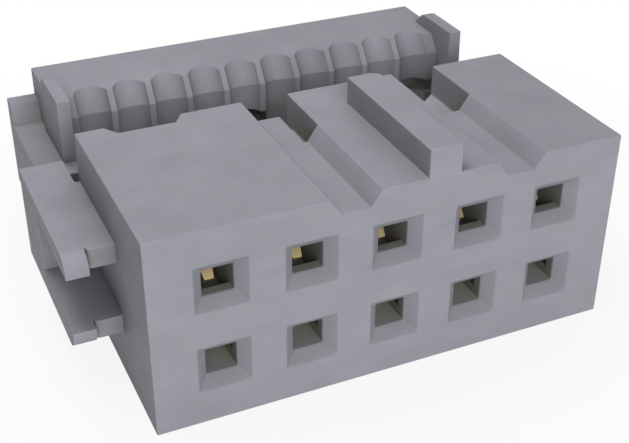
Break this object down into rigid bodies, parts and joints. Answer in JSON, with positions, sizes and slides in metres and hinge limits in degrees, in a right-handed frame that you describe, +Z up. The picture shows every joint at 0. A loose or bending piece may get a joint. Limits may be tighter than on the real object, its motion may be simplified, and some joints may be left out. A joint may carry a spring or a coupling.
{
  "type": "ribbon cable pin connector",
  "caption": "Grey plastic ribbon-cable socket with two rows of square pin holes, a polarising key, end brackets and a grooved rear cover held open on rails.",
  "frame": {"origin": "centre of the mating face, between the two rows of pin holes", "axes": "+X along the rows of holes, +Y back from the mating face towards the cover, +Z up towards the key"},
  "size_m": [0.0172, 0.0128, 0.0069],
  "materials": {
    "housing_plastic": "satin moulded",
    "cover_plastic": "satin moulded",
    "contact_metal": "gold-plated stamping"
  },
  "bodies": {
    "root": {"housing": "housing_plastic", "cover": "cover_plastic", "upper_contact_1": "contact_metal", "upper_contact_2": "contact_metal", "upper_contact_3": "contact_metal", "upper_contact_4": "contact_metal", "upper_contact_5": "contact_metal", "lower_contact_1": "contact_metal", "lower_contact_2": "contact_metal", "lower_contact_3": "contact_metal", "lower_contact_4": "contact_metal", "lower_contact_5": "contact_metal"}
  },
  "joints": []
}
